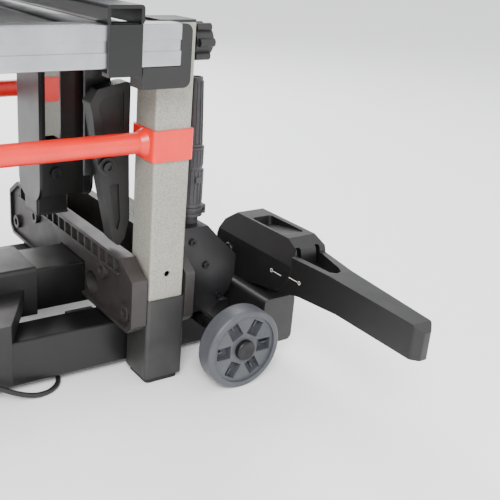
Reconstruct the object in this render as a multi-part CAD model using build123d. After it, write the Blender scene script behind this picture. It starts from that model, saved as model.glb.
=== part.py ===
"""Mitre saw on a low wheeled stand: four square posts on a tube base, a pedal arm, a dust
collector with its hose adapter, a rail deck, and a compound mitre saw.  Millimetres, +Z up.
X runs along the rails, -Y is the operator's side, and Z = 0 is the floor."""
from build123d import *
import os
from math import cos, pi, radians, sin, sqrt, tan

os.makedirs("parts", exist_ok=True)

# ---- driving dimensions: stand -------------------------------------------------------------
GAP = 0.3                      # clearance between separate pieces that face each other
POST, POST_WALL, POST_R = 50, 2.5, 3.5
POST_X, POST_Y = 250, 190      # post centres, left/right and front/rear
POST_OVER_DECK = 44            # post top above the underside of the deck rails
BOOT_WALL, BOOT_TOP, PAD_H = 3, 121, 8
PIN_HOLE_R, PIN_HOLE_Z = 4, 155
RAIL_W, RAIL_H, RAIL_Z, RAIL_WALL = 54, 63, 10, 2.5
RAIL_Y = POST_Y - POST / 2 - BOOT_WALL - GAP - RAIL_W / 2              # rails run inside the posts
TUBE_W, TUBE_H, TUBE_Z, TUBE_Y, TUBE_WALL = 80, 62, 62, -26, 2.5       # centre tube
PLATE_IN_T, PLATE_OUT_T, PLATE_Z0, PLATE_Z1, PLATE_Y = 22, 14, 76, 172, POST_Y + 26   # ribbed plates
PLATE_RIM, PLATE_STEP = 5, 5
BAR_R, BAR_WALL, BAR_Z = 13, 2, 322                                    # red tubes
COLLAR_H, COLLAR_WALL = 38, 3
WHEEL_R, WHEEL_W, WHEEL_X, WHEEL_FACE_Y = 56, 28, POST_X + 86, POST_Y + 89
AXLE_R, HUB_CAP_R = 6, 14
POCKETS = 6
BEAM_X0, BEAM_W, BEAM_Z0, BEAM_Z1 = POST_X + 138, 52, 34, 103           # right-hand end beam
BEAM_X1 = BEAM_X0 + BEAM_W
BEAM_Y = POST_Y + 57
# ---- driving dimensions: pedal arm ---------------------------------------------------------
ARM_X0, ARM_W = BEAM_X0 + 14, 58
ARM_PIVOT_Y, ARM_PIVOT_Z, NOSE_R = -226, 162, 50
ARM_TOP, ARM_BACK_Y, PIVOT_PIN_R, TONGUE_W = 190, -104, 5, 6
LEVER_TIP_Y, LEVER_TIP_W, LEVER_Z0, LEVER_Z1, LEVER_EDGE_R = -495, 27, 130, 174, 5
# ---- driving dimensions: dust collector ----------------------------------------------------
BIN_X1, BIN_Y0, BIN_Y1, BIN_TOP, BIN_WALL = POST_X + 129, -185, -70, 199, 3
NOZZLE_X, NOZZLE_Y, NOZZLE_BORE = POST_X + 64, -160, 8
FAN_R, FAN_T, FAN_SHAFT_R = 30, 16, 3
# ---- driving dimensions: column and deck ---------------------------------------------------
COL_X, COL_W, COL_BOTTOM, COL_TOP = POST_X - 74, 46, 188, 285
CHAN_X0, CHAN_X1, CHAN_Y0, CHAN_Y1, CHAN_T, CHAN_Z0 = POST_X - 106, POST_X - 28, -34, 20, 4, 212
LATCH_Y0, LATCH_T, LATCH_PIVOT, LATCH_DX = 33 - POST_Y, 22, (POST_X - 59, 287), POST_X - 244
DECK_Z0, DECK_H, DECK_W, DECK_X, CAP_DROP = 420, 46, 30, POST_X - 14, 24
CROSS_W, CROSS_H, CROSS_X = 44, 20, 165
# ---- driving dimensions: saw ---------------------------------------------------------------
SAW_FOOT, TABLE_H, BASE_X, BASE_Y0, BASE_Y1 = 8, 86, 258, -62, 44
TURN_R, TURN_T, TURN_GAP, KERF = 150, 49, 0.6, 12
INSERT_W, INSERT_T, INSERT_L, INSERT_R = 26, 3, 2.2, 6                 # kerf inserts: the gap is wider right
ARM_HALF, ARM_LEN = 38, 300
BLADE_R, BLADE_T, BORE_R, BLADE_DEPTH, BLADE_Y = 127, 2.4, 15, 27, -20
BEVEL_Y, BEVEL_R = 158, 40
CHOP_Y, CHOP_UP = 176, 142                                             # above the table top
GUARD_R0, GUARD_WALL, GUARD_IN = 129.5, 2, 4
MOTOR_R, MOTOR_LEN = 42, 122
# ---- driving dimensions: mains lead --------------------------------------------------------
CORD_R, COIL_R, COIL_TURN_R = 3.4, 38, 10

BIN_Z0 = RAIL_Z + RAIL_H + GAP
DECK_Y = POST_Y + POST / 2 + GAP + DECK_W / 2
DECK_TOP = DECK_Z0 + DECK_H
POST_TOP = DECK_Z0 + POST_OVER_DECK
SADDLE_TOP = DECK_TOP + CROSS_H
TABLE = SADDLE_TOP + SAW_FOOT + TABLE_H
BLADE_Z = TABLE + BLADE_R - BLADE_DEPTH
CHOP_Z = TABLE + CHOP_UP
POSTS = [(sx * POST_X, sy * POST_Y, sx, sy) for sx in (-1, 1) for sy in (-1, 1)]
nodes = {}
screws, end_plugs = [], []      # small like pieces, gathered into one node each


def box(x0, x1, y0, y1, z0, z1):
    """Block between two corners."""
    return Pos((x0 + x1) / 2, (y0 + y1) / 2, (z0 + z1) / 2) * Box(abs(x1 - x0), abs(y1 - y0), abs(z1 - z0))


def soft(solid, radius, axis=Axis.Z):
    """Round the edges that run along one axis."""
    return fillet(solid.edges().filter_by(axis), radius)


def rod(axis, a, b, u, v, r):
    """Round bar along X, Y or Z from a to b; u and v are the other two coordinates in order."""
    bar = Cylinder(r, abs(b - a))
    mid = (a + b) / 2
    if axis == "X":
        return Pos(mid, u, v) * Rot(0, 90, 0) * bar
    if axis == "Y":
        return Pos(u, mid, v) * Rot(90, 0, 0) * bar
    return Pos(u, v, mid) * bar


def ring(axis, a, b, u, v, r_out, r_in):
    """Tube along an axis, its hole cut right through."""
    return rod(axis, a, b, u, v, r_out) - rod(axis, a - 1, b + 1, u, v, r_in)


def slab_x(points, x0, x1):
    """Outline of (y, z) points, thick along X."""
    face = Plane.YZ.offset(min(x0, x1)) * make_face(Polyline(*points, close=True))
    return extrude(face, abs(x1 - x0), dir=(1, 0, 0))


def slab_y(points, y0, y1):
    """Outline of (x, z) points, thick along Y."""
    face = Plane.XZ.offset(-min(y0, y1)) * make_face(Polyline(*points, close=True))
    return extrude(face, abs(y1 - y0), dir=(0, 1, 0))


def slab_z(points, z0, z1):
    """Outline of (x, y) points, thick along Z."""
    face = Plane.XY.offset(min(z0, z1)) * make_face(Polyline(*points, close=True))
    return extrude(face, abs(z1 - z0), dir=(0, 0, 1))


def sector(cy, cz, r, a0, a1, steps=10):
    """Pie slice as (y, z) points; angles start at -Y and climb towards +Z."""
    arc = [radians(a0 + (a1 - a0) * i / steps) for i in range(steps + 1)]
    return [(cy, cz)] + [(cy - r * cos(t), cz + r * sin(t)) for t in arc]


def square_tube(x0, x1, y0, y1, z0, z1, wall, axis, radius):
    """Hollow rectangular tube with rounded long edges, open at both ends."""
    outer = soft(box(x0, x1, y0, y1, z0, z1), radius, axis)
    grow = [wall, wall, wall]
    grow["XYZ".index({Axis.X: "X", Axis.Y: "Y", Axis.Z: "Z"}[axis])] = -1
    gx, gy, gz = grow
    return outer - box(x0 + gx, x1 - gx, y0 + gy, y1 - gy, z0 + gz, z1 - gz)


def screw(axis, a, b, u, v, head_r, sense=1):
    """Socket-head screw: head from a to b with a hexagon recess; sense is the way the head faces."""
    head = rod(axis, a, b, u, v, head_r)
    top = max(a, b) if sense > 0 else min(a, b)
    return head - rod(axis, top - sense * 2.2, top + sense, u, v, head_r * 0.5)


def add(name, *solids):
    """Keep one sub-part, as a single solid or a group of solids."""
    flat = [s for item in solids for s in item.solids()]
    nodes[name] = flat


def mirrored(solid):
    """Front piece and its twin at the rear."""
    return [solid, mirror(solid, Plane.XZ)]


# ============================================================================================
# Stand: posts, boots, rails, plates
# ============================================================================================
def make_posts():
    posts, boots, pads, caps = [], [], [], []
    half = POST / 2
    for x, y, sx, sy in POSTS:
        tube = square_tube(x - half, x + half, y - half, y + half, PAD_H + 3, POST_TOP, POST_WALL,
                           Axis.Z, POST_R)
        posts.append(tube - rod("Y", y + sy * (half + 1), y + sy * (half - 6), x, PIN_HOLE_Z, PIN_HOLE_R))
        out = half + BOOT_WALL
        y_out, y_in = y + sy * out, y - sy * out
        boot = soft(box(x - out, x + out, min(y_out, y_in), max(y_out, y_in), PAD_H, BOOT_TOP), 5)
        boots.append(boot - box(x - half, x + half, y - half, y + half, PAD_H + 3, BOOT_TOP + 1))
        low, high = min(y_out, y_in), max(y_out, y_in)
        pads.append(soft(box(x - out + 4, x + out - 4, low + 4, high - 4, 0, PAD_H), 5))
        caps.append(soft(box(x - half, x + half, y - half, y + half, POST_TOP, POST_TOP + 3), POST_R))
    add("square_posts", *posts)
    add("post_boots", *boots)
    add("foot_pads", *pads)
    end_plugs.extend(caps)


def make_base_tubes():
    x1 = WHEEL_X + 26
    x0 = -POST_X - POST / 2 - 12
    rail = square_tube(x0, x1, -RAIL_Y - RAIL_W / 2, -RAIL_Y + RAIL_W / 2, RAIL_Z, RAIL_Z + RAIL_H,
                       RAIL_WALL, Axis.X, 4)
    rail -= rod("Y", -RAIL_Y - RAIL_W, -RAIL_Y + RAIL_W, WHEEL_X, WHEEL_R, AXLE_R + 4)
    add("side_rails", *mirrored(rail))
    plug = box(x0 - 3, x0, -RAIL_Y - RAIL_W / 2, -RAIL_Y + RAIL_W / 2, RAIL_Z, RAIL_Z + RAIL_H)
    end_plugs.extend(mirrored(soft(plug, 4, Axis.X)))
    tube = square_tube(-POST_X - 20, POST_X - 35 - GAP, TUBE_Y - TUBE_W / 2, TUBE_Y + TUBE_W / 2, TUBE_Z,
                       TUBE_Z + TUBE_H, TUBE_WALL, Axis.X, 3)
    add("centre_tube", tube)


def plate_outline(grow=0):
    """Half-hexagon side plate seen along X, sloped towards both ends."""
    y, low, high = PLATE_Y + grow, PLATE_Z0 - grow, PLATE_Z1 + grow
    return [(-y + 12, low), (-y, low + 12), (-y, high - 22), (-y + 34, high), (y - 34, high),
            (y, high - 22), (y, low + 12), (y - 12, low)]


def make_side_plates():
    """Moulded plates that clamp each pair of posts between them, with a rim, ribs and bosses."""
    inner, outer = [], []
    arch_y0, arch_y1 = TUBE_Y - TUBE_W / 2 - 2, TUBE_Y + TUBE_W / 2 + 2
    for sx in (-1, 1):
        for side, group in ((-1, inner), (1, outer)):
            near = POST_X + side * (POST / 2 + BOOT_WALL + GAP)
            far = near + side * (PLATE_IN_T if side < 0 else PLATE_OUT_T)
            face = far - side * PLATE_STEP
            solid = soft(slab_x(plate_outline(), sx * near, sx * far), 5, Axis.X)
            pocket = slab_x(plate_outline(-PLATE_RIM), sx * face, sx * (far + side))
            ribs = [box(sx * face, sx * far, y - 1.5, y + 1.5, PLATE_Z1 - 22, PLATE_Z1 - 2)
                    for y in range(-165, 166, 22)]
            bosses = [rod("X", sx * face, sx * (far + side * 1), y, z, 11)
                      for y in (-196, -129, 107, 186) for z in ((102,) if abs(y) > 180 else (136,))]
            step = box(sx * face, sx * far, -PLATE_Y + 40, PLATE_Y - 40, PLATE_Z1 - 26, PLATE_Z1 - 22)
            solid = solid - pocket + ribs + bosses + step
            for y in (-196, 186):
                solid -= rod("X", sx * (far + side * 2), sx * (far - side * 6), y, 102, 5.5)
            for y in (-129, 107):
                solid -= rod("X", sx * (far + side * 2), sx * (far - side * 6), y, 136, 5.5)
            solid -= rod("X", sx * (near - side), sx * (far + side * 2), -91, 102, 17)
            if side < 0:
                solid -= box(sx * (near + 1), sx * (far - 1), arch_y0, arch_y1, PLATE_Z0 - 1,
                             TUBE_Z + TUBE_H + 1)
            group.append(solid)
    add("ribbed_plates", *inner, *outer)


def make_red_bars():
    half = POST / 2
    out = half + COLLAR_WALL
    bars = []
    for y in (-POST_Y, POST_Y):
        inside = POST_X - half - COLLAR_WALL
        bar = ring("X", -inside, inside, y, BAR_Z, BAR_R, BAR_R - BAR_WALL)
        for sx in (-1, 1):
            x = sx * POST_X
            collar = soft(box(x - out, x + out, y - out, y + out, BAR_Z - COLLAR_H / 2,
                              BAR_Z + COLLAR_H / 2), 5)
            collar -= box(x - half, x + half, y - half, y + half, BAR_Z - COLLAR_H, BAR_Z + COLLAR_H)
            weld = Pos(sx * (inside - 4), y, BAR_Z) * Rot(0, sx * 90, 0) * Cone(BAR_R, BAR_R + 5, 8)
            weld -= rod("X", -inside, inside, y, BAR_Z, BAR_R - BAR_WALL)
            bar = bar + collar + weld
        bars.append(bar)
    add("red_bars", *bars)


# ============================================================================================
# Right-hand end: wheels, beam, pedal arm, dust collector
# ============================================================================================
def make_wheels():
    axle = [rod("Y", -WHEEL_FACE_Y, WHEEL_FACE_Y, WHEEL_X, WHEEL_R, AXLE_R)]
    for name, sy in (("front_wheel", -1), ("rear_wheel", 1)):
        face, back = sy * WHEEL_FACE_Y, sy * (WHEEL_FACE_Y - WHEEL_W)
        tyre = rod("Y", face, back, WHEEL_X, WHEEL_R, WHEEL_R)
        tyre = fillet(tyre.edges().filter_by(GeomType.CIRCLE), 4)
        tyre -= rod("Y", face + sy, face - sy * 3, WHEEL_X, WHEEL_R, WHEEL_R - 9)
        tyre -= rod("Y", back - sy, back + sy * 4, WHEEL_X, WHEEL_R, WHEEL_R - 9)
        for i in range(POCKETS):
            wedge = [(21, -9), (WHEEL_R - 14, -8.5), (WHEEL_R - 14, 8.5), (21, 9)]
            spoke = slab_y([(WHEEL_X + u * cos(2 * pi * i / POCKETS) - v * sin(2 * pi * i / POCKETS),
                             WHEEL_R + u * sin(2 * pi * i / POCKETS) + v * cos(2 * pi * i / POCKETS))
                            for u, v in wedge], face + sy, face - sy * 13)
            tyre -= spoke
        tyre -= rod("Y", face + sy, back - sy, WHEEL_X, WHEEL_R, AXLE_R + 0.05)
        add(name, tyre)
        cap = rod("Y", face + sy * 5, face - sy * 3 + sy * GAP, WHEEL_X, WHEEL_R, HUB_CAP_R)
        cap = fillet(cap.edges().filter_by(GeomType.CIRCLE).sort_by(Axis.Y)[0 if sy < 0 else -1], 3.5)
        cap -= rod("Y", face + sy * 0.5, face - sy * 5, WHEEL_X, WHEEL_R, AXLE_R)
        axle.append(cap)
    sleeve_y1 = WHEEL_FACE_Y - WHEEL_W - 0.5
    sleeve = ring("Y", -sleeve_y1, -RAIL_Y - RAIL_W / 2 + 20, WHEEL_X, WHEEL_R, AXLE_R + 3.5, AXLE_R)
    add("wheel_axle", *axle, *mirrored(sleeve))


def make_end_beam():
    beam = soft(box(BEAM_X0, BEAM_X1, -BEAM_Y, BEAM_Y, BEAM_Z0, BEAM_Z1), 8, Axis.Y)
    beam -= box(BEAM_X0 + 4, BEAM_X1 - 4, -BEAM_Y + 4, BEAM_Y - 4, BEAM_Z0 - 1, BEAM_Z1 - 4)
    for sy in (-1, 1):
        beam -= rod("X", BEAM_X1 - 6, BEAM_X1 + 1, sy * (BEAM_Y - 14), 80, 5)
        for y in (200, 120, 40):
            beam += box(BEAM_X0 + 3, BEAM_X1 - 3, sy * y - 1.5, sy * y + 1.5, BEAM_Z0 + 6, BEAM_Z1 - 3)
    bridge = box(WHEEL_X + 26 + GAP, BEAM_X0 + 1, -RAIL_Y - RAIL_W / 2, RAIL_Y + RAIL_W / 2, BEAM_Z0, 70)
    bridge -= box(WHEEL_X + 30, BEAM_X0 - 3, -RAIL_Y, RAIL_Y, BEAM_Z0 - 1, 66)
    add("end_beam", beam + bridge)


def nose_slot(x0, x1):
    """Room for one hinge tongue as the lever turns."""
    swing = slab_x(sector(ARM_PIVOT_Y, ARM_PIVOT_Z, NOSE_R + 3, -66, 26), x0, x1)
    return swing + rod("X", x0, x1, ARM_PIVOT_Y, ARM_PIVOT_Z, 15)


def make_arm():
    x0, x1 = ARM_X0, ARM_X0 + ARM_W
    py, pz = ARM_PIVOT_Y, ARM_PIVOT_Z
    side = [(py, pz - NOSE_R), (py + 50, BEAM_Z1), (ARM_BACK_Y - 24, BEAM_Z1), (ARM_BACK_Y - 4, 125),
            (ARM_BACK_Y, 150), (ARM_BACK_Y - 10, 175), (ARM_BACK_Y - 30, ARM_TOP), (py - 24, ARM_TOP),
            (py - 60, ARM_TOP - 14), (py - 60, pz - NOSE_R)]
    body = slab_x(side, x0, x1)
    front = rod("X", x0, x1, py, pz, NOSE_R) + box(x0, x1, py, ARM_BACK_Y + 20, 90, 200)
    body = body & front
    cut = [(x0 - 1, 158), (x0 - 1, 220), (x0 + 20, 220), (x0 + 13, ARM_TOP + 1)]
    body -= slab_y(cut, -340, -80)
    body -= Pos((x0 + x1) / 2 + 4, py + 26, ARM_TOP + 4) * Rot(-9, 0, 0) * soft(Box(34, 74, 22), 6)
    for xs in (x0 + 10, x1 - 10 - TONGUE_W):
        body -= nose_slot(xs - GAP, xs + TONGUE_W + GAP)
    body -= rod("X", x0 + 4, x1 - 4, py, pz, PIVOT_PIN_R)
    body -= rod("X", x0 - 1, x0 + 6, ARM_BACK_Y - 34, 138, 9 + GAP)
    body = body.solids().sort_by(SortBy.VOLUME)[-1]
    add("pedal_housing", body, rod("X", x0 + 4, x1 - 4, py, pz, PIVOT_PIN_R))
    button = rod("X", x0 - 4, x0 + 1.5, ARM_BACK_Y - 34, 138, 9)
    add("arm_release_button", fillet(button.edges().filter_by(GeomType.CIRCLE).sort_by(Axis.X)[0], 2))

    tip, w = LEVER_TIP_Y, LEVER_TIP_W
    plan = [(x0, py), (x0, tip + 8), (x0 + 8, tip), (x0 + w - 8, tip), (x0 + w, tip + 8),
            (x0 + 38, py - 120),
            (x1 - 2, py - 48), (x1, py)]
    profile = [(py, pz - NOSE_R + 5), (py - 22, pz - NOSE_R + 4), (py - 70, 126), (py - 140, 132),
               (tip, LEVER_Z0),
               (tip, LEVER_Z1 - 10), (tip + 10, LEVER_Z1 - 2), (py - 120, LEVER_Z1 + 2), (py - 54,
                                                                                          LEVER_Z1),
               (py, LEVER_Z1)]
    lever = slab_z(plan, 90, 200) & slab_x(profile, x0, x1)
    lever = fillet(lever.edges().filter_by(Axis.Z).filter_by(lambda e: e.center().Y < tip + 12),
                   LEVER_EDGE_R)
    lever -= rod("X", x0 - 1, x1 + 1, py, pz, NOSE_R + GAP)
    lever -= box(x0 - 1, x1 + 1, py - 20, py + 80, 90, 200)
    hole = [(x0 + 9, py - 40), (x0 + 9, py - 112), (x0 + 15, py - 119), (x0 + 24, py - 116),
            (x0 + 30, py - 106),
            (x1 - 12, py - 56), (x1 - 12, py - 40)]
    lever -= slab_z(hole, 90, 210)
    lever = lever.solids().sort_by(SortBy.VOLUME)[-1]
    for xs in (x0 + 10, x1 - 10 - TONGUE_W):
        tongue = slab_x(sector(py, pz, NOSE_R + 12, -44, -6), xs, xs + TONGUE_W)
        tongue += rod("X", xs, xs + TONGUE_W, py, pz, 13)
        lever = lever + tongue
    lever -= rod("X", x0 - 1, x1 + 1, py, pz, PIVOT_PIN_R + 0.08)
    add("pedal_lever", lever)


def make_dust_collector():
    x0 = POST_X + POST / 2 + BOOT_WALL + GAP + PLATE_OUT_T + 1 + GAP
    x1, y0, y1 = BIN_X1, BIN_Y0, BIN_Y1
    outline = [(x0, BIN_Z0), (x1 - 34, BIN_Z0), (x1 - 8, 98), (x1, 122), (x1, 150), (x1 - 26, 174),
               (x1 - 50, BIN_TOP), (x0 - 14, BIN_TOP), (x0 - 14, PLATE_Z1 + 4), (x0, PLATE_Z1 + 4)]
    shell = slab_y(outline, y0, y1)
    inner = [(x0 + BIN_WALL, BIN_Z0 + BIN_WALL), (x1 - 36, BIN_Z0 + BIN_WALL), (x1 - 11, 100),
             (x1 - BIN_WALL, 123),
             (x1 - BIN_WALL, 148), (x1 - 29, 172), (x1 - 52, BIN_TOP - BIN_WALL), (x0 + BIN_WALL,
                                                                                   BIN_TOP - BIN_WALL)]
    shell -= slab_y(inner, y0 + BIN_WALL, y1 - BIN_WALL)
    lid_y = y0 + 18
    shell -= rod("Z", BIN_TOP - 8, BIN_TOP + 4, NOZZLE_X, NOZZLE_Y, NOZZLE_BORE)
    add("dust_bin_front", shell & box(x0 - 40, x1 + 9, y0 - 1, lid_y, 0, 300))
    nx, ny, z = NOZZLE_X, NOZZLE_Y, BIN_TOP
    fan_x, fan_z, fan_y = WHEEL_X + 2, 124, y1 - 40
    panel = ((fan_x - 8, 142), (fan_x + 14, 94), (nx - 8, 178))
    screws.extend(screw("Y", y0, y0 - 3, x, level, 5, -1) for x, level in panel)
    motor = rod("Y", y1 - BIN_WALL - 20, y1 - BIN_WALL, fan_x, fan_z, 20)
    add("dust_bin_body", shell & box(x0 - 40, x1 + 9, lid_y, y1 + 1, 0, 300), motor)
    hub = rod("Y", fan_y - FAN_T / 2, fan_y + FAN_T / 2, fan_x, fan_z, 8)
    hub += rod("Y", fan_y + FAN_T / 2 - 1, y1 - BIN_WALL - 20 - GAP, fan_x, fan_z, FAN_SHAFT_R)
    hub += ring("Y", fan_y + FAN_T / 2 - 2, fan_y + FAN_T / 2, fan_x, fan_z, FAN_R, 7)
    for i in range(8):
        blade = Pos(fan_x, fan_y, fan_z) * Rot(0, 45 * i, 0) * Pos(18, 0, 0) * Box(22, FAN_T, 1.8)
        hub += blade
    add("dust_fan", hub)

    socket = ring("Z", z, z + 11, nx, ny, 12, NOZZLE_BORE) + ring("Z", z + 11, z + 23, nx, ny, 17.5,
                                                                  NOZZLE_BORE)
    socket -= ring("Z", z + 15, z + 19, nx, ny, 20, 15.5)
    socket += box(nx + 14, nx + 22, ny - 6, ny + 6, z + 11, z + 23) - rod("Y", ny - 7, ny + 7, nx + 18,
                                                                          z + 17, 2)
    add("hose_socket", socket)
    low, mid, top = z + 23 + GAP, z + 74, z + 104
    collar = ring("Z", low, mid, nx, ny, 15.3, NOZZLE_BORE) + ring("Z", mid, top, nx, ny, 14.2, NOZZLE_BORE)
    for i in range(18):
        collar += Pos(nx, ny, (low + mid) / 2 + 3) * Rot(0, 0, 20 * i) * Pos(15.2, 0, 0) * Box(2.2, 2.6,
                                                                                               mid - low - 8)
        collar += Pos(nx, ny, (mid + top) / 2 + 2) * Rot(0, 0, 20 * i + 10) * Pos(14.1, 0, 0) * Box(1.8,
                                                                                                    2.2, 24)
    collar += ring("Z", low, low + 5, nx, ny, 16.4, 14) + ring("Z", top - 3, top, nx, ny, 15.2, 12)
    collar += box(nx - 4, nx + 4, ny - 18.5, ny - 15, mid - 16, mid - 8)
    add("hose_twist_collar", collar)
    tall = 89
    cone = Pos(nx, ny, top + tall / 2) * Cone(12, 8.4, tall) - rod("Z", top - 1, top + tall + 1, nx, ny, 6)
    for i in range(12):
        cone += (Pos(nx, ny, top + tall / 2) * Rot(0, 0, 30 * i + 15) * Pos(10.2, 0, 0) * Rot(0, -2.3, 0)
                 * Box(2.2, 1.8, tall - 10))
    cone += ring("Z", top, top + 4, nx, ny, 13, 6)
    add("hose_nozzle", cone)


# ============================================================================================
# Centre column, channel bracket and latch
# ============================================================================================
def make_column():
    half = COL_W / 2
    column = square_tube(COL_X - half, COL_X + half, -half, half, COL_BOTTOM, COL_TOP, 2.5, Axis.Z, 3)
    plug = box(COL_X - half + 2.5, COL_X + half - 2.5, -half + 2.5, half - 2.5, COL_BOTTOM, COL_BOTTOM + 8)
    end_plugs.append(plug + box(COL_X - half, COL_X + half, -half, half, COL_BOTTOM - 3, COL_BOTTOM))
    web = box(CHAN_X0, CHAN_X1, CHAN_Y0, CHAN_Y0 + CHAN_T, CHAN_Z0 + 8, DECK_Z0)
    web = web + box(CHAN_X0 + 4, CHAN_X1 - 4, CHAN_Y0, CHAN_Y0 + CHAN_T, CHAN_Z0 + 2, CHAN_Z0 + 9)
    web -= soft(box(COL_X - 14, COL_X + 8, CHAN_Y0 - 1, CHAN_Y0 + CHAN_T + 1, COL_TOP + 6, DECK_Z0 - 8), 6,
                Axis.Y)
    for xs in (CHAN_X0, CHAN_X1 - CHAN_T):
        flange = box(xs, xs + CHAN_T, CHAN_Y0 - 22, CHAN_Y1, CHAN_Z0, DECK_Z0)
        web += fillet(flange.edges().filter_by(Axis.X).sort_by(Axis.Z)[:2], 24)
    spacer = box(COL_X - 18, COL_X + 18, CHAN_Y0 + CHAN_T, -half, 232, 262)
    hole = rod("Y", CHAN_Y0 - 1, -half, COL_X, 247, 4)
    add("channel_bracket", web - hole, spacer - hole)
    screws.append(screw("Y", CHAN_Y0 - 5, CHAN_Y0, COL_X, 247, 8, -1) + rod("Y", CHAN_Y0, -half, COL_X, 247,
                                                                            4))
    beam_x1 = POST_X - POST / 2 - GAP
    beam = square_tube(CHAN_X0, beam_x1, -DECK_Y + DECK_W / 2, DECK_Y - DECK_W / 2, DECK_Z0, DECK_Z0 + 36,
                       3,
                       Axis.Y, 3)
    add("lift_column", column, beam)


def make_latch():
    px, pz = LATCH_PIVOT
    outline = [(166, 350), (162, 366), (172, 382), (206, 389), (216, 389), (216, 300), (219, 214),
               (213, 188),
               (204, 178), (195, 188), (188, 222), (172, 296)]
    outline = [(x + LATCH_DX, z) for x, z in outline]
    plate = soft(slab_y(outline, LATCH_Y0, LATCH_Y0 + LATCH_T), 4, Axis.Y)
    recess = [(178, 348), (174, 360), (180, 370), (208, 377), (208, 318), (182, 312)]
    plate -= slab_y([(x + LATCH_DX, z) for x, z in recess], LATCH_Y0 - 1, LATCH_Y0 + 4)
    slot = [(191, 262), (203, 262), (206, 214), (203, 200), (198, 208)]
    plate -= slab_y([(x + LATCH_DX, z) for x, z in slot], LATCH_Y0 - 1, LATCH_Y0 + 5)
    plate += rod("Y", LATCH_Y0 - 4, LATCH_Y0, px, pz, 12)
    plate -= rod("Y", LATCH_Y0 - 5, LATCH_Y0 + LATCH_T + 1, px, pz, 5.06)
    add("latch_lever", plate)
    back = LATCH_Y0 + LATCH_T + GAP
    hanger = box(px - 19, px + 15, back, back + 5, pz - 16, DECK_Z0) - rod("Y", back - 1, back + 6, px, pz, 5)
    hanger += box(px - 19, px + 15, back, back + 30, DECK_Z0 - 5, DECK_Z0)
    pin = rod("Y", LATCH_Y0 - 4, back + 5, px, pz, 5) + screw("Y", LATCH_Y0 - 8, LATCH_Y0 - 4 - GAP, px, pz,
                                                              7, -1)
    pin += rod("Y", LATCH_Y0 - 4.5, LATCH_Y0 - 3, px, pz, 4.9)
    add("latch_hanger", hanger, pin)


# ============================================================================================
# Deck: aluminium rails, caps, crossbars
# ============================================================================================
def make_deck():
    rail = square_tube(-DECK_X, DECK_X, -DECK_Y - DECK_W / 2, -DECK_Y + DECK_W / 2, DECK_Z0, DECK_TOP, 2.5,
                       Axis.X, 2)
    rail -= box(-DECK_X - 1, DECK_X + 1, -DECK_Y - DECK_W / 2 - 1, -DECK_Y - DECK_W / 2 + 1.2, DECK_Z0 + 17,
                DECK_Z0 + 29)
    add("deck_rails", *mirrored(rail))
    caps = []
    for sx in (-1, 1):
        cap = box(sx * DECK_X, sx * (DECK_X + 14), -DECK_Y - DECK_W / 2, -DECK_Y + DECK_W / 2 - 0.5,
                  DECK_Z0 - CAP_DROP, DECK_TOP)
        cap = fillet(cap.edges().filter_by(Axis.Y).sort_by(lambda e: -sx * e.center().X)[:2], 9)
        cap += soft(box(sx * (DECK_X - 48), sx * (DECK_X + 2), -DECK_Y - DECK_W / 2,
                        -DECK_Y + DECK_W / 2 - 0.5,
                        DECK_Z0 - CAP_DROP, DECK_Z0), 2, Axis.Z)
        caps += mirrored(cap)
        for sy in (-1, 1):
            side = POST_X + POST / 2
            knob = rod("X", sx * (side + 6), sx * (side + 30), sy * POST_Y, DECK_Z0 + 20, 17)
            for i in range(6):
                y = sy * POST_Y + 19 * cos(pi * i / 3)
                z = DECK_Z0 + 20 + 19 * sin(pi * i / 3)
                knob += rod("X", sx * (side + 8), sx * (side + 28), y, z, 5)
            knob -= rod("X", sx * (side + 5), sx * (side + 18), sy * POST_Y, DECK_Z0 + 20, 4.05)
            stud = rod("X", sx * side, sx * (side + (17.5 if sx > 0 else 8)), sy * POST_Y, DECK_Z0 + 20, 4)
            screws.append(stud + rod("X", sx * side, sx * (side + 4), sy * POST_Y, DECK_Z0 + 20, 9))
            if sx > 0:
                add(("front" if sy < 0 else "rear") + "_deck_knob", knob)
    add("rail_end_caps", *caps)
    half_y = DECK_Y + DECK_W / 2 + 4
    bars, hooks = [], []
    for sx in (-1, 1):
        x = sx * CROSS_X
        bar = soft(box(x - CROSS_W / 2, x + CROSS_W / 2, -half_y, half_y, DECK_TOP, SADDLE_TOP), 4, Axis.Y)
        bar -= box(x - CROSS_W / 2 + 4, x + CROSS_W / 2 - 4, -half_y - 1, half_y + 1, DECK_TOP - 1,
                   SADDLE_TOP - 4)
        for y in (BASE_Y0 + 22, BASE_Y1 - 18):
            bar -= rod("Z", SADDLE_TOP - 6, SADDLE_TOP + 1, x, y, 4.5)
        bars.append(bar)
        for sy in (-1, 1):
            out = DECK_Y + DECK_W / 2 + GAP
            hook = box(x - 20, x + 20, sy * out, sy * (out + 4), DECK_Z0 - 5, DECK_TOP)
            hook += box(x - 20, x + 20, sy * (out - 12), sy * (out + 4), DECK_Z0 - 8 - GAP,
                        DECK_Z0 - 4 - GAP)
            hooks.append(hook)
    add("saddle_clamps", *bars, *hooks)


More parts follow.
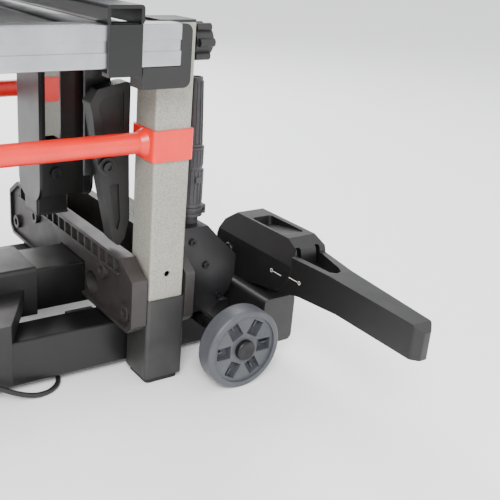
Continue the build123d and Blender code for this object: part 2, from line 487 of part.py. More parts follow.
# ============================================================================================
# Mitre saw
# ============================================================================================
def make_saw_base():
    foot = SADDLE_TOP
    z0, floor_top = foot + SAW_FOOT, TABLE - TURN_T - TURN_GAP
    body = soft(box(-BASE_X, BASE_X, BASE_Y0, BASE_Y1, z0, TABLE), 10)
    body -= box(-BASE_X + 6, BASE_X - 6, BASE_Y0 + 6, BASE_Y1 - 6, z0 - 1, TABLE - 6)
    body -= rod("Z", floor_top - 40, TABLE + 1, 0, 0, TURN_R + 2)
    pan = rod("Z", z0, floor_top, 0, 0, TURN_R + 10) - rod("Z", z0 - 1, floor_top - 6, 0, 0, TURN_R + 4)
    for y in (-42, 26):
        pan += box(-BASE_X + 4, BASE_X - 4, y - 2, y + 2, z0, z0 + 20)
    base = body + pan + rod("Z", z0, floor_top, 0, 0, 24)
    base -= rod("Z", z0 - 1, floor_top + 1, 0, 0, 8)
    for sx in (-1, 1):
        for y in (BASE_Y0 + 22, BASE_Y1 - 18):
            x = sx * CROSS_X
            base += rod("Z", foot, z0 + 12, x, y, 14)
            base -= rod("Z", foot - 1, z0 + 13, x, y, 4.5) + rod("Z", z0 + 12, z0 + 24, x, y, 10)
            screws.append(rod("Z", foot - 12, z0 + 18, x, y, 4) + rod("Z", z0 + 12, z0 + 18, x, y, 8))
    add("saw_base", base)
    fences = {"left": [(-BASE_X + 6, TABLE), (-50, TABLE), (-104, TABLE + 54), (-BASE_X + 6, TABLE + 54)],
              "right": [(BASE_X - 6, TABLE), (56, TABLE), (56, TABLE + 54), (BASE_X - 6, TABLE + 54)]}
    lower = []
    for name, points in fences.items():
        pts = [(x, z + (0.5 if z == TABLE else 0)) for x, z in points]
        wall = slab_y(pts, 6, 16)
        sx = -1 if name == "left" else 1
        for x in (sx * 163, sx * 242):
            wall += box(x - 6, x + 6, 14, 38, TABLE, TABLE + 40) - slab_x(
                [(18, TABLE + 42), (42, TABLE + 8), (42, TABLE + 42)], x - 7, x + 7)
        wall += box(sx * 157, sx * 250, 6, 40, TABLE, TABLE + 6)
        lower.append(wall)
    add("lower_fences", *lower)
    upper_left = slab_y([(-BASE_X + 6, TABLE + 54.3), (-110, TABLE + 54.3), (-160, TABLE + 100),
                         (-BASE_X + 6, TABLE + 100)], 6, 16)
    upper_right = slab_y([(BASE_X - 6, TABLE + 54.3), (62, TABLE + 54.3), (62, TABLE + 84),
                          (84, TABLE + 100),
                          (BASE_X - 6, TABLE + 100)], 6, 16)
    for name, sx, fence in (("left", -1, upper_left), ("right", 1, upper_right)):
        fence += box(sx * 172, sx * 194, 16 + GAP, 22, TABLE + 20, TABLE + 66)
        fence += box(sx * 172, sx * 194, 14, 22, TABLE + 56, TABLE + 66)
        add(name + "_sliding_fence", fence)


def make_turntable():
    top, under = TABLE - 0.4, TABLE - TURN_T
    disc = rod("Z", under, top, 0, 0, TURN_R)
    arm = soft(box(-ARM_HALF, ARM_HALF, -ARM_LEN, 0, under + 1, top), 12)
    table = disc + arm
    table -= rod("Z", under - 1, top - 8, 0, 0, TURN_R - 8) - rod("Z", under - 2, top, 0, 0, 26)
    table -= box(-ARM_HALF + 6, ARM_HALF - 6, -ARM_LEN + 8, -TURN_R + 4, under - 1, top - 8)
    table -= box(-KERF / 2, KERF / 2, -128, 96, under - 1, top + 1)
    table -= slab_y([(KERF / 2 - 1, TABLE - 1), (KERF / 2 - 1, TABLE - BLADE_DEPTH - 7),
                     (BLADE_DEPTH + 4, TABLE - BLADE_DEPTH - 7), (BLADE_DEPTH + 4, TABLE - BLADE_DEPTH),
                     (KERF / 2, TABLE - 2)], -128, 96)
    table -= box(-INSERT_W - 0.2, INSERT_W + 0.2, -120.2, 90.2, top - INSERT_T, top + 1)
    ped = box(-40, 40, 128, BEVEL_Y - GAP, under, TABLE - 4) + rod("Y", 128, BEVEL_Y - GAP, 0, TABLE,
                                                                   BEVEL_R)
    table += ped
    table -= box(-41, 41, -40, 128, TABLE - 0.4, TABLE + 60)
    table -= rod("Y", 120, BEVEL_Y + 1, 0, TABLE, 8)
    table -= rod("Z", under - 1, under + 14, 0, 0, 8.0)
    add("turntable", table)
    left = box(-INSERT_W, -INSERT_L, -120, 90, top - INSERT_T, top)
    right = box(INSERT_R, INSERT_W, -120, 90, top - INSERT_T, top)
    add("kerf_plates", left, right)
    y, z = -ARM_LEN, (under + top) / 2
    knob = rod("Y", y - 58, y - 14, 0, z, 17)
    knob = fillet(knob.edges().filter_by(GeomType.CIRCLE), 5)
    for i in range(8):
        t = 2 * pi * i / 8
        knob -= rod("Y", y - 60, y - 12, 19.5 * cos(t), z + 19.5 * sin(t), 3.5)
    knob += rod("Y", y - 16, y - GAP, 0, z, 9)
    add("mitre_lock_knob", knob)
    detent = box(-16, 16, y - 34, y + 6, under - 10, under - 3)
    detent = soft(detent, 5)
    detent += rod("X", -16, 16, y + 2, under - 6, 4.5)
    detent -= rod("X", -17, 17, y + 2, under - 6, 3.06)
    add("detent_lever", detent)
    lug = [box(x - 3, x + 3, y - 3, y + 14, under - 11, under + 1.0) for x in (-19.3, 19.3)]
    table = nodes["turntable"][0]
    for piece in lug:
        table += piece
    table -= rod("X", -23, 23, y + 2, under - 6, 3)
    nodes["turntable"] = table.solids()
    add("turntable_pins", rod("X", -22, 22, y + 2, under - 6, 3), rod("Z", SADDLE_TOP + 10, under + 13, 0,
                                                                      0, 7.95))


def make_bevel_arm():
    y0, y1 = BEVEL_Y, BEVEL_Y + 34
    arm = rod("Y", y0, y1, 0, TABLE, BEVEL_R)
    side = [(-30, TABLE), (-16, TABLE + 60), (-16, CHOP_Z - 10), (56, CHOP_Z - 10), (56, CHOP_Z - 40),
            (34, TABLE + 50),
            (30, TABLE)]
    arm += slab_y(side, y0 + 4, y1)
    arm -= rod("Y", y0 - 1, y1 + 1, 0, TABLE, 8)
    arm -= rod("X", -20, 60, CHOP_Y, CHOP_Z, 25)
    for x0, x1 in ((-16, -2), (40, 56)):
        arm += box(x0, x1, y0 + 4, y1, CHOP_Z - 42, CHOP_Z) + rod("X", x0, x1, CHOP_Y, CHOP_Z, 17)
    arm -= rod("X", -20, 60, CHOP_Y, CHOP_Z, 7)
    add("bevel_arm", arm)
    handle = ring("Y", y1 + GAP, y1 + 14, 0, TABLE, 15, 8.02)
    handle += soft(box(-7, 7, y1 + 2, y1 + 12, TABLE - 82, TABLE - 12), 4, Axis.Y)
    handle -= rod("Y", y1 - 1, y1 + 16, 0, TABLE, 8.02)
    add("bevel_lock_lever", handle)
    chop_pin = rod("X", -18, 58, CHOP_Y, CHOP_Z, 6.95) + rod("X", -19, -16, CHOP_Y, CHOP_Z, 11)
    chop_pin += rod("X", 56, 59, CHOP_Y, CHOP_Z, 11)
    add("arm_pivot_pins", chop_pin, rod("Y", BEVEL_Y - 36, y1 + 16, 0, TABLE, 7.95))


def make_head():
    cy, cz = BLADE_Y, BLADE_Z
    arm = rod("X", -1.5, 39.5, CHOP_Y, CHOP_Z, 16)
    spine = [(CHOP_Y, CHOP_Z + 14), (CHOP_Y - 70, CHOP_Z + 40), (cy + 20, CHOP_Z + 44),
             (cy - 20, CHOP_Z + 10), (cy - 26, cz + 10),
             (cy + 18, cz - 8), (cy + 60, cz + 52), (CHOP_Y - 36, CHOP_Z - 14), (CHOP_Y, CHOP_Z - 14)]
    arm += slab_x(spine, 16, 36)
    arm += rod("X", 12, 40, cy, cz, 28)
    arm -= rod("X", -3, 41, CHOP_Y, CHOP_Z, 7.05)
    arm -= rod("X", 0, 30, cy, cz, 8.02)
    add("head_casting", arm, ring("X", 8.2, 12, cy, cz, 30.7, 9))

    r_out = GUARD_R0 + GUARD_WALL + GUARD_IN + 3
    r_in = r_out - 3
    wide = [(cy, cz)] + sector(cy, cz, r_out + 60, -4, 172, 24)[1:]
    guard = rod("X", -22, 15.7, cy, cz, r_out) & slab_x(wide, -22, 15.7)
    guard -= rod("X", -19.5, 13.2, cy, cz, r_in)
    guard -= rod("X", 10, 17, cy, cz, 34)
    guard -= rod("X", -24, -18, cy, cz, 46)
    guard = guard.solids().sort_by(SortBy.VOLUME)[-1]
    add("upper_guard", guard)

    g0, g1 = GUARD_R0, GUARD_R0 + GUARD_WALL
    pie = sector(cy, cz, g1 + 60, 14, 166, 24)
    low = rod("X", -16, 10, cy, cz, g1) - rod("X", -14.5, 8.5, cy, cz, g0)
    low = low & slab_x(pie, -17, 11)
    low -= rod("X", -17, -14, cy, cz, 52)
    low -= rod("X", 8, 11, cy, cz, 34)
    low += ring("X", 8.5, 10, cy, cz, 37, 31)
    low = low.solids().sort_by(SortBy.VOLUME)[-1]
    add("lower_guard", low)

    disc = rod("X", -BLADE_T / 2, BLADE_T / 2, cy, cz, BLADE_R)
    teeth = 40
    for i in range(teeth):
        t = 2 * pi * i / teeth
        y, z = cy + (BLADE_R - 1) * cos(t), cz + (BLADE_R - 1) * sin(t)
        disc -= Pos(0, y, z) * Rot(360 * i / teeth, 0, 0) * Pos(0, 0, 4) * Box(6, 12, 7)
    for i in range(4):
        t = radians(45 + 90 * i)
        disc -= rod("X", -3, 3, cy + 84 * cos(t), cz + 84 * sin(t), 7)
    disc -= rod("X", -3, 3, cy, cz, BORE_R)
    add("saw_blade", disc)
    half = BLADE_T / 2
    arbor = rod("X", -half - 12, 30 - GAP, cy, cz, 8) + rod("X", -half, half, cy, cz, BORE_R - 0.02)
    flange_in = ring("X", half, half + 6, cy, cz, 22, 8)
    flange_out = ring("X", -half - 6, -half, cy, cz, 22, 8)
    bolt = rod("X", -half - 18, -half - 12, cy, cz, 9) - rod("X", -half - 20, -half - 14, cy, cz, 4)
    add("arbor_set", arbor, flange_in, flange_out, bolt + ring("X", -half - 12, -half - 6, cy, cz, 11, 8.0))

    my, mz = cy + 36, cz + 78
    casing = rod("X", 36, 36 + MOTOR_LEN, my, mz, MOTOR_R)
    casing = fillet(casing.edges().filter_by(GeomType.CIRCLE).sort_by(Axis.X)[-1], 10)
    casing -= rod("X", 40, 36 + MOTOR_LEN - 4, my, mz, MOTOR_R - 3)
    for i in range(7):
        for side in (-1, 1):
            slot = Rot(side * (20 + 22 * i) - 90, 0, 0) * Pos(0, 0, MOTOR_R) * Box(24, 4, 14)
            casing -= Pos(36 + MOTOR_LEN - 22, my, mz) * slot
    stator = ring("X", 62, 118, my, mz, MOTOR_R - 3, 22.8)
    add("motor_housing", casing, stator)
    shaft = rod("X", 40 + GAP, 36 + MOTOR_LEN - 4 - GAP, my, mz, 5)
    add("motor_rotor", shaft + rod("X", 60, 120, my, mz, 22))

    hy, hz = cy - GUARD_R0 - 4, cz + 86
    loop = [(hy + 34, hz + 52), (hy + 34, hz + 30), (hy - 6, hz + 26), (hy - 54, hz - 10),
            (hy - 60, hz - 34), (hy - 36, hz - 46),
            (hy + 4, hz - 44), (hy + 4, hz - 62), (hy - 46, hz - 64), (hy - 82, hz - 40),
            (hy - 76, hz + 2), (hy - 16, hz + 46)]
    grip = slab_x(loop, -14, 14)
    grip = fillet(grip.edges().filter_by(lambda e: e.length > 20), 4)
    return grip, hy, hz, cy, cz


def make_handle():
    grip, hy, hz, cy, cz = make_head()
    bridge = slab_x([(hy + 34, hz + 52), (hy + 90, hz + 70), (hy + 90, hz + 46), (hy + 34, hz + 30)], -12,
                    12)
    front = slab_x([(hy + 4, hz - 44), (hy + 26, hz - 44), (hy + 26, hz - 62), (hy + 4, hz - 62)], -12, 12)
    grip = grip + bridge + front
    outside = rod("X", -24, 17, cy, cz, GUARD_R0 + GUARD_WALL + GUARD_IN + 3)
    grip -= outside
    grip -= box(-6, 6, hy - 67, hy - 50, hz - 37, hz - 9)
    grip = grip.solids().sort_by(SortBy.VOLUME)[-1]
    add("d_handle", grip)
    add("trigger", soft(box(-5.5, 5.5, hy - 63, hy - 49, hz - 36, hz - 10), 4, Axis.X))


def make_extras():
    cy, cz = BLADE_Y, BLADE_Z
    r = GUARD_R0 + GUARD_WALL + GUARD_IN + 3
    strap = box(-9, 9, cy - 20, cy + 46, cz + r - 3, cz + r + 40) - box(-10, 10, cy - 8, cy + 34,
                                                                        cz + r - 4, cz + r + 28)
    strap = soft(strap, 3, Axis.Y)
    add("carry_handle", strap - rod("X", -24, 17, cy, cz, r))
    x, y = 205, 29
    arm = box(x - 9, x + 9, y - 80, y + 16, TABLE + 138, TABLE + 156)
    arm = soft(arm, 5, Axis.Z)
    arm -= rod("Z", TABLE + 130, TABLE + 162, x, y + 6, 6)
    arm -= rod("Z", TABLE + 130, TABLE + 162, x, y - 68, 5.06)
    add("clamp_frame", arm, rod("Z", TABLE + 6, TABLE + 160, x, y + 6, 6))
    screw_z = TABLE + 64
    shaft = rod("Z", screw_z, TABLE + 190, x, y - 68, 5) + rod("Z", screw_z - 6, screw_z, x, y - 68, 16)
    shaft += rod("Z", TABLE + 190, TABLE + 206, x, y - 68, 8)
    shaft += soft(box(x - 26, x + 26, y - 72, y - 64, TABLE + 194, TABLE + 204), 3, Axis.Y)
    add("clamp_screw", shaft)


def make_cross_bracket():
    """Moulded joiner that wraps the centre tube and both side rails near mid-span."""
    x0, x1 = 50, 132
    body = soft(box(x0, x1, TUBE_Y - TUBE_W / 2 - 5, TUBE_Y + TUBE_W / 2 + 5, TUBE_Z - 5,
                    TUBE_Z + TUBE_H + 5), 6, Axis.X)
    for sy in (-1, 1):
        wing = slab_z([(x0, sy * 60), (x0 - 46, sy * (RAIL_Y + RAIL_W / 2 + 4)),
                       (x0 + 10, sy * (RAIL_Y + RAIL_W / 2 + 4)),
                       (x1 - 8, sy * 50), (x1 - 8, sy * 10), (x0,
                                                              sy * 10)], RAIL_Z + RAIL_H, TUBE_Z + TUBE_H - 24)
        cheek = box(x0 - 46, x0 + 10, sy * (RAIL_Y + RAIL_W / 2), sy * (RAIL_Y + RAIL_W / 2 + 4),
                    RAIL_Z + 6, RAIL_Z + RAIL_H + 4)
        body += wing
        body += cheek
    body -= box(x0 - 60, x1 + 1, TUBE_Y - TUBE_W / 2, TUBE_Y + TUBE_W / 2, TUBE_Z, TUBE_Z + TUBE_H)
    body -= box(x0 - 60, x1 + 1, TUBE_Y - TUBE_W / 2 + 3, TUBE_Y + TUBE_W / 2 - 3, TUBE_Z - 9, TUBE_Z + 1)
    add("cross_bracket", *body.solids())


# ============================================================================================
# Mains lead of the dust fan
# ============================================================================================
def bend_radii(points):
    """Each bend is as large as its two runs allow."""
    radii = []
    for a, b, c in zip(points, points[1:], points[2:]):
        u, v = Vector(*b) - Vector(*a), Vector(*c) - Vector(*b)
        half_turn = radians(u.get_angle(v)) / 2
        radii.append(0.45 * min(u.length, v.length) / tan(half_turn))
    return radii


CORD_Y = -RAIL_Y - RAIL_W / 2
CORD_ROUTE = [(-34, CORD_Y - 9, 46), (-4, CORD_Y - 11, 43), (26, CORD_Y - 13, 31), (54, CORD_Y - 17, 14),
              (80, CORD_Y - 22, 5), (102, CORD_Y - 20, 3.6), (120, CORD_Y - 7, 3.8), (129, CORD_Y + 14,
                                                                                      3.6),
              (129, CORD_Y + 38, 3.9), (122, CORD_Y + 62, 3.6), (112, CORD_Y + 84, 3.8)]


def make_cord():
    radii = bend_radii(CORD_ROUTE)
    print("cord bend radii", [round(r) for r in radii])
    path = FilletPolyline(*CORD_ROUTE, radius=radii)
    start = Plane(origin=path @ 0, z_dir=path % 0)
    tube = sweep(start * Circle(CORD_R), path=path)
    print("cord length", round(path.length), "volume ratio",
          round(tube.volume / (pi * CORD_R ** 2 * path.length), 3))
    a, b = Vector(*CORD_ROUTE[0]), Vector(*CORD_ROUTE[1])
    back = (a - b).normalized()
    gland = Plane(origin=a + back * 24, z_dir=-back) * Pos(0, 0, 12) * Cone(7, 4.4, 24)
    gland -= Plane(origin=a + back * 24, z_dir=-back) * Pos(0, 0, 12) * Cylinder(CORD_R - 1.4, 25)
    box_x1 = (a + back * 24).X
    power = soft(box(box_x1 - 70, box_x1 + 0.5, CORD_Y - 24, CORD_Y, 30, 62), 5, Axis.X)
    add("power_box", power, gland - power)
    end, way = path @ 1, path % 1
    coil_z = COIL_TURN_R + 0.2
    reach = COIL_R + sqrt((COIL_TURN_R + CORD_R + GAP) ** 2 - (coil_z - end.Z) ** 2)
    cx, cy = end.X + reach * way.Y, end.Y - reach * way.X
    coil = Pos(cx, cy, coil_z) * Torus(COIL_R, COIL_TURN_R)
    add("lead_coil", coil)
    add("lead_run", tube)
    print("coil centre", round(cx, 2), round(cy, 2), "lead end", [round(v, 2) for v in end])
    x1, y = cx + 44, cy + COIL_R
    plug = soft(box(x1, x1 + 42, y - 14, y + 14, 0.2, 22), 5, Axis.X)
    plug += rod("X", cx + 6, x1, y, coil_z, 5)
    plug += rod("X", x1 + 42, x1 + 60, y - 9.5, 11, 2.4) + rod("X", x1 + 42, x1 + 60, y + 9.5, 11, 2.4)
    add("lead_plug", plug - coil)


make_posts()
make_base_tubes()
make_side_plates()
make_red_bars()
make_wheels()
make_end_beam()
make_arm()
make_dust_collector()
make_column()
make_latch()
make_deck()
make_saw_base()
make_turntable()
make_bevel_arm()
make_handle()
make_extras()
make_cross_bracket()
make_cord()

CORD_NODES = ["lead_run", "lead_coil", "lead_plug"]
add("end_plugs", *end_plugs)
add("stand_screws", *screws)
boxes = [s.bounding_box() for name, group in nodes.items() if name not in CORD_NODES for s in group]
low = [min(getattr(b.min, k) for b in boxes) for k in "XYZ"]
high = [max(getattr(b.max, k) for b in boxes) for k in "XYZ"]
SHIFT = (-(low[0] + high[0]) / 2, -(low[1] + high[1]) / 2, -low[2])
print("shift to the centre of the footprint", [round(v, 3) for v in SHIFT])
print("overall size", [round(high[i] - low[i], 1) for i in range(3)], "nodes", len(nodes))
for name, group in nodes.items():
    placed = [Pos(*SHIFT) * s for s in group]
    export_step(placed[0] if len(placed) == 1 else Compound(children=placed), f"parts/{name}.step")
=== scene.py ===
# %% [markdown]
# A compound mitre saw stands on a low wheeled stand. The exact solids come from the CAD pack, so
# this lesson gives each one its finish, lays out the mains lead, and adds the small pieces that are
# too fine for the solids: carbide tips, scale ticks, printed marks and ribs. The frame comes first,
# with its box, because every piece takes its place from the solids.

# %% load the solids
import bpy
import numpy as np
from mathutils import Euler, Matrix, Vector


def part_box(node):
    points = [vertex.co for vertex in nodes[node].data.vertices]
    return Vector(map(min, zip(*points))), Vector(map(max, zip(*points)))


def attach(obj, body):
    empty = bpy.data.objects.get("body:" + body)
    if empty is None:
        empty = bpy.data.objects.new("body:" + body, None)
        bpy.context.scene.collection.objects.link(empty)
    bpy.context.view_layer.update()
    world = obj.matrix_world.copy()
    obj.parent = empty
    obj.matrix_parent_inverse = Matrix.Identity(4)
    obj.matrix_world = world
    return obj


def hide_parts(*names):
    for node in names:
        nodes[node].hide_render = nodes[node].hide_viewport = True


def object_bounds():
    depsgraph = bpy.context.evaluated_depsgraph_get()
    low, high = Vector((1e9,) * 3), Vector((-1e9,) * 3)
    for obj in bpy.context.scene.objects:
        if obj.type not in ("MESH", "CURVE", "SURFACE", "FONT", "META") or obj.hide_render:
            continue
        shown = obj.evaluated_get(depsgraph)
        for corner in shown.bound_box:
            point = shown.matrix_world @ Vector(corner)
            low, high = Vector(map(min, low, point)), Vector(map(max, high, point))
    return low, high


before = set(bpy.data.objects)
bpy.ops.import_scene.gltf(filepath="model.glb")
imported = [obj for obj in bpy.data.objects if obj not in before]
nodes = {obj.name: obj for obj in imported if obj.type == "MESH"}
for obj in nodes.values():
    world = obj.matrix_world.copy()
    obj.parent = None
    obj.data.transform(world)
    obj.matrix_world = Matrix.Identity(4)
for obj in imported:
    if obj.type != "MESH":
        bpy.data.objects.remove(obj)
cad_low, cad_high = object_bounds()
MM = 0.001
print("solids", len(nodes), "size", [round(v, 3) for v in cad_high - cad_low])

# %% [markdown]
# The camera stands to the operator's left and looks down past the front rail at the wheeled end.
# The lens is about 57 mm on a 36 mm sensor. A longer one would flatten the stand, and a shorter
# one would splay its posts. A small sideways shift lets the camera turn less, so that the posts
# stay nearly upright.

# %% camera
SENSOR_MM, LENS_MM, SIDE_SHIFT = 36, 57.1, 0.15
CAMERA_PLACE = (-0.32105, -0.8981, 0.552)
CAMERA_TURN_DEG = [68.54, -2.72, -31.2]
view_camera = bpy.data.cameras.new("stand_view")
view_camera.sensor_width = SENSOR_MM
view_camera.lens = LENS_MM
view_camera.shift_x = SIDE_SHIFT
camera = bpy.data.objects.new("stand_view", view_camera)
camera.location = CAMERA_PLACE
camera.rotation_euler = Euler(np.radians(CAMERA_TURN_DEG))
bpy.context.scene.collection.objects.link(camera)
bpy.context.scene.camera = camera

# %% [markdown]
# The mains lead leaves the power box through its strain relief, hangs in front of the rail, passes
# under it and is put away in a round coil with its plug. It could be a mesh tube, but a curve keeps
# its line exact and its ends round, so it is one NURBS spline with a round bevel. The straight part
# is a list of points chosen one by one. The coil is a formula: the centreline goes round a ring,
# and it also winds slowly round the ring's own middle line, so the turns lie beside each other one
# diameter apart. Order 3 makes the spline follow its control points closely and stay smooth. Each
# point carries the lead's radius and the bevel depth is 1, so the tube's radius is their product.

# %% mains lead: where it goes
LEAD_R = 3.4 * MM
LEAD_ROUTE = [
    (-0.1173, -0.0652, 0.0460), (-0.0873, -0.0672, 0.0430), (-0.0573, -0.0692, 0.0310),
    (-0.0293, -0.0732, 0.0140), (-0.0033, -0.0782, 0.0050), (0.0187, -0.0762, 0.0036),
    (0.0367, -0.0632, 0.0038), (0.0457, -0.0422, 0.0036), (0.0457, -0.0182, 0.0039),
    (0.0387, 0.0058, 0.0036), (0.0287, 0.0278, 0.0038)]
coil_low, coil_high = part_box("lead_coil")
coil_x, coil_y, coil_z = (coil_low + coil_high) / 2
COIL_RING_R = 38 * MM
COIL_POINTS_PER_TURN = 16
COIL_START_DEG, COIL_END_DEG = 204.4, 90
WHOLE_TURNS = 6
LEAN_START_DEG, TURNS_PER_LEAN = -28, 6
LEAD_IN_TURNS = 0.3
RUN_OUT_FROM, RUN_OUT_TURNS = 5.2, 0.8
FIRST_TURN = 0.04
SLEEVE_STEPS_MM = (6, 12)


def coil_turns():
    """Control points of the coil. The angle round the ring falls evenly, clockwise seen from above.
    The offset from the ring's middle line is one lead diameter long and itself turns by a sixth
    of a circle per turn; it starts a diameter further out, and shrinks to nothing at the end."""
    turns_before_plug = WHOLE_TURNS + (COIL_START_DEG - COIL_END_DEG) / 360
    steps = int(turns_before_plug * COIL_POINTS_PER_TURN)
    turn = np.linspace(FIRST_TURN, turns_before_plug, steps)
    round_ring = np.radians(COIL_START_DEG) - 2 * np.pi * turn
    lean = np.radians(LEAN_START_DEG) - 2 * np.pi / TURNS_PER_LEAN * turn
    lead_in = 1 + np.clip(1 - turn / LEAD_IN_TURNS, 0, 1)
    run_out = 1 - np.clip((turn - RUN_OUT_FROM) / RUN_OUT_TURNS, 0, 1)
    offset = 2 * LEAD_R * lead_in * run_out
    radius = (COIL_RING_R + offset * np.cos(lean)) / np.cos(np.pi / COIL_POINTS_PER_TURN) ** 2
    return np.stack([coil_x + radius * np.cos(round_ring), coil_y + radius * np.sin(round_ring),
                     coil_z + offset * np.sin(lean)], axis=1)


# %% mains lead: the spline
def lead_curve():
    """One NURBS spline through the route and then the coil, ending in the plug's sleeve."""
    curve = bpy.data.curves.new("mains_lead", "CURVE")
    curve.dimensions = "3D"
    turns = coil_turns()
    sleeve_end = [turns[-1] + np.array([step * MM, 0, 0]) for step in SLEEVE_STEPS_MM]
    points = [*LEAD_ROUTE, *turns, *sleeve_end]
    spline = curve.splines.new("NURBS")
    spline.points.add(len(points) - 1)
    spline.points.foreach_set("co", np.array([(*p, 1.0) for p in points]).ravel())
    spline.points.foreach_set("radius", np.full(len(points), LEAD_R))
    spline.order_u = 3
    spline.use_endpoint_u = True
    spline.resolution_u = 4
    curve.bevel_depth = 1.0
    curve.bevel_resolution = 4
    curve.use_fill_caps = True
    lead = bpy.data.objects.new("mains_lead", curve)
    bpy.context.scene.collection.objects.link(lead)
    return lead


mains_lead = lead_curve()
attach(mains_lead, "stand")
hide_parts("lead_run", "lead_coil")
print("lead coil centre", round(coil_x, 4), round(coil_y, 4))

# %% [markdown]
# Every finish below is built from the same few shader nodes, so two small helpers come first. One
# turns an sRGB hex colour, as a paint chart gives it, into the linear colour the shader wants. The
# other adds one node, fills in its settings and wires its inputs.

# %% colour and node helpers
def linear(hex_colour):
    """sRGB hex to linear RGBA: c/12.92 below 0.04045, else ((c + 0.055)/1.055) to the power 2.4."""
    srgb = np.array([int(hex_colour[i:i + 2], 16) / 255 for i in (1, 3, 5)])
    rgb = np.where(srgb <= 0.04045, srgb / 12.92, ((srgb + 0.055) / 1.055) ** 2.4)
    return (*rgb.tolist(), 1.0)


def add_node(tree, kind, inputs=None, **settings):
    """Add one shader node; a socket given as an input is wired, any other value is set."""
    node = tree.nodes.new("ShaderNode" + kind)
    for name, value in settings.items():
        setattr(node, name, value)
    for name, value in (inputs or {}).items():
        if isinstance(value, bpy.types.NodeSocket):
            tree.links.new(value, node.inputs[name])
        else:
            node.inputs[name].default_value = value
    return node


# %% [markdown]
# A real surface is never one flat colour. Each finish has three layers: slow blotches of a lighter
# and a darker tone, a roughness that wanders with them, and a fine relief. The relief is what tells
# paint from plastic from rubber, so every finish names its size and its depth in millimetres. A
# relief as fine as the real one would be lost at arm's length, so it is drawn a little coarser.
# The relief sits on a normal that is rounded at the edges, because no moulded or painted edge is
# perfectly sharp.

# %% the layered finish
EASED_EDGE_MM = 0.9
EASED_EDGE_SAMPLES = 4
TONE_LOW, TONE_HIGH = 0.3, 0.7
RING_BANDS = 20


def finish(name, light, dark, rough, blotch_mm, relief_mm, depth_mm, spread=0.06, pattern="NOISE",
           stretch=(1, 1, 1), centre=(0, 0, 0), turn=(0, 0, 0), **shader):
    """Material of two blended tones, wandering roughness and a relief of a given size and depth."""
    material = bpy.data.materials.new(name)
    material.use_nodes = True
    tree = material.node_tree
    tree.nodes.clear()
    place = add_node(tree, "TexCoord").outputs["Object"]
    local = add_node(tree, "Mapping", {"Vector": place, "Location": centre, "Rotation": turn,
                                       "Scale": stretch}, vector_type="POINT").outputs[0]
    blotch = add_node(tree, "TexNoise", {"Vector": place, "Scale": 1 / (blotch_mm * MM),
                                         "Detail": 4.0, "Roughness": 0.6}).outputs[0]
    tones = add_node(tree, "ValToRGB", {"Fac": blotch})
    tones.color_ramp.elements[0].position = TONE_LOW
    tones.color_ramp.elements[0].color = linear(dark)
    tones.color_ramp.elements[1].position = TONE_HIGH
    tones.color_ramp.elements[1].color = linear(light)
    gloss = add_node(tree, "MapRange", {"Value": blotch, "From Min": TONE_LOW,
                                        "From Max": TONE_HIGH, "To Min": rough + spread,
                                        "To Max": rough - spread})
    scale = 1 / (relief_mm * MM)
    if pattern == "CELLS":
        relief = add_node(tree, "TexVoronoi", {"Vector": local, "Scale": scale},
                          feature="SMOOTH_F1").outputs["Distance"]
    elif pattern == "RINGS":
        relief = add_node(tree, "TexWave", {"Vector": local, "Scale": scale / RING_BANDS,
                                            "Distortion": 0.6, "Detail": 3.0,
                                            "Detail Scale": 2.0},
                          wave_type="RINGS", rings_direction="X").outputs["Fac"]
    else:
        relief = add_node(tree, "TexNoise", {"Vector": local, "Scale": scale,
                                             "Detail": 3.0}).outputs[0]
    eased = add_node(tree, "Bevel", {"Radius": EASED_EDGE_MM * MM},
                     samples=EASED_EDGE_SAMPLES).outputs[0]
    bump = add_node(tree, "Bump", {"Height": relief, "Distance": depth_mm * MM, "Strength": 1.0,
                                   "Normal": eased})
    body = add_node(tree, "BsdfPrincipled", {"Base Color": tones.outputs[0],
                                             "Roughness": gloss.outputs[0],
                                             "Normal": bump.outputs[0], **shader})
    add_node(tree, "OutputMaterial", {"Surface": body.outputs[0]})
    return material


# %% [markdown]
# The stand's paints. The posts have hammered enamel: silver flake in a warm grey that pulls into
# dimples two or three millimetres across as it dries. The lower tubes have black powder coat, which
# melts into a fine orange peel. The two cross tubes have the same coat in bright red.

# %% hammered enamel and powder coats
hammered_enamel = finish("hammered_enamel_greige", "#a3a298", "#7e7d73", 0.4, 1.6, 2.2, 0.3,
                         pattern="CELLS", Metallic=0.2)
red_powder_coat = finish("powder_coat_red", "#f4200f", "#dd160a", 0.36, 60, 1.1, 0.035,
                         **{"Coat Weight": 0.25, "Coat Roughness": 0.2})
black_powder_coat = finish("powder_coat_satin_black", "#0f0f0f", "#080808", 0.34, 70, 0.9, 0.03)

# %% [markdown]
# The moulded blacks differ by resin and by how the mould was cut. The end beam, boots and caps are
# ABS with a spark-eroded grain. The clamping plates are glass-filled nylon, browner and duller,
# because fibres reach the skin. The arm is a smoother polypropylene, with more shine on its top.

